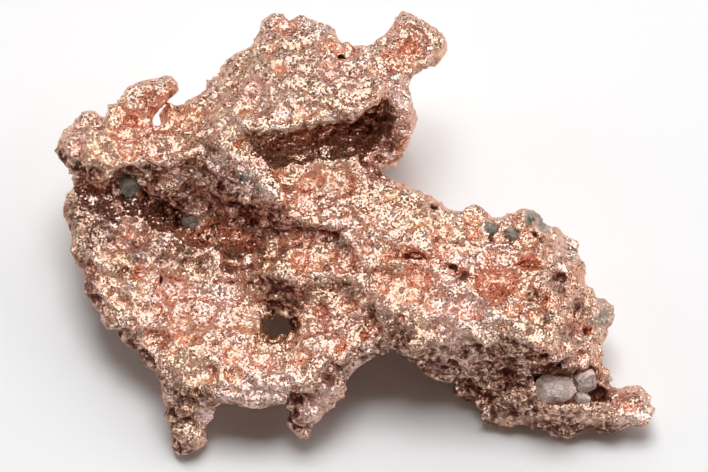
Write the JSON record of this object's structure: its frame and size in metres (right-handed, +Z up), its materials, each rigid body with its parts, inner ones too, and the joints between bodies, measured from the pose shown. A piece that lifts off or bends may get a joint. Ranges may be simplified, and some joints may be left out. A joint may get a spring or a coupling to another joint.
{
  "type": "native copper nugget",
  "caption": "Cleaned nugget of native copper: a lumpy, folded plate of bright metal with an overhanging brow, deep creases and grains of host rock caught in its pockets.",
  "frame": {"origin": "middle of the nugget's footprint, on the surface it rests on", "axes": "+X towards the ledge's end of the broad face, +Y from the front feet towards the brow, +Z up, the way the broad face looks"},
  "size_m": [0.0808, 0.0566, 0.0315],
  "materials": {
    "native_copper": "cleaned native copper, bright and uneven, dark red in the hollows",
    "host_rock_grey": "rough grey rock",
    "host_rock_green": "rough grey-green rock"
  },
  "bodies": {
    "root": {"copper_nugget": "native_copper", "rock_pocket_main": "host_rock_grey", "rock_pocket_side": "host_rock_grey", "rock_pocket_chip": "host_rock_grey", "rock_crease_left": "host_rock_green", "rock_crease_deep": "host_rock_green", "rock_shoulder_left": "host_rock_green", "rock_shoulder_right": "host_rock_green"}
  },
  "joints": []
}
